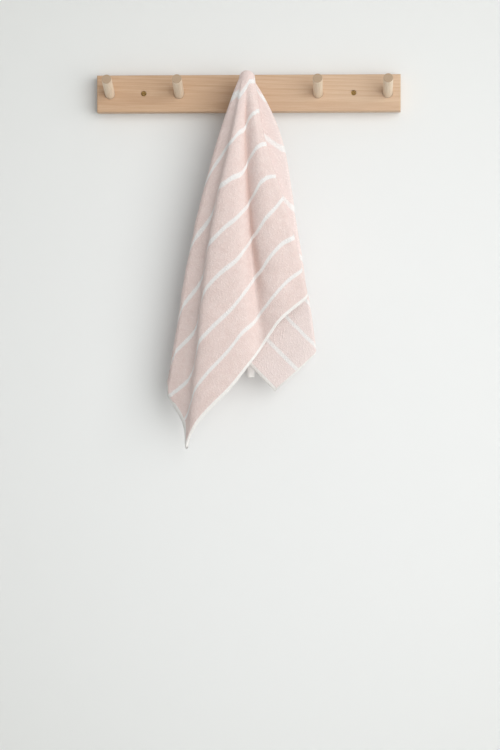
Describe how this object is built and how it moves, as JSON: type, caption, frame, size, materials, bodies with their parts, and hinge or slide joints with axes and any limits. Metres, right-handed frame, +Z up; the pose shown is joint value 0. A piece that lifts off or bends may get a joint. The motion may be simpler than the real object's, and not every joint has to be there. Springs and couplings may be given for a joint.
{
  "type": "guest towel on a peg rail",
  "caption": "Striped terry guest towel with a hanging loop, draped over the middle peg of a small wooden peg rail that screws to a wall.",
  "frame": {"origin": "centre of the rail's back face, on the wall", "axes": "+X to the viewer's right along the rail, +Y into the wall, +Z up"},
  "size_m": [0.272, 0.0595, 0.3332],
  "materials": {
    "beech": "oiled, matt",
    "pale_maple": "sanded, matt",
    "brass": "satin",
    "pink_terry": "looped cotton pile with white stripes",
    "white_tape": "woven cotton tape"
  },
  "bodies": {
    "root": {"rail": "beech", "peg_1": "pale_maple", "peg_2": "pale_maple", "peg_3": "pale_maple", "peg_4": "pale_maple", "peg_5": "pale_maple", "screw_1": "brass", "screw_2": "brass", "towel": "pink_terry", "hanger_loop": "white_tape"}
  },
  "joints": []
}
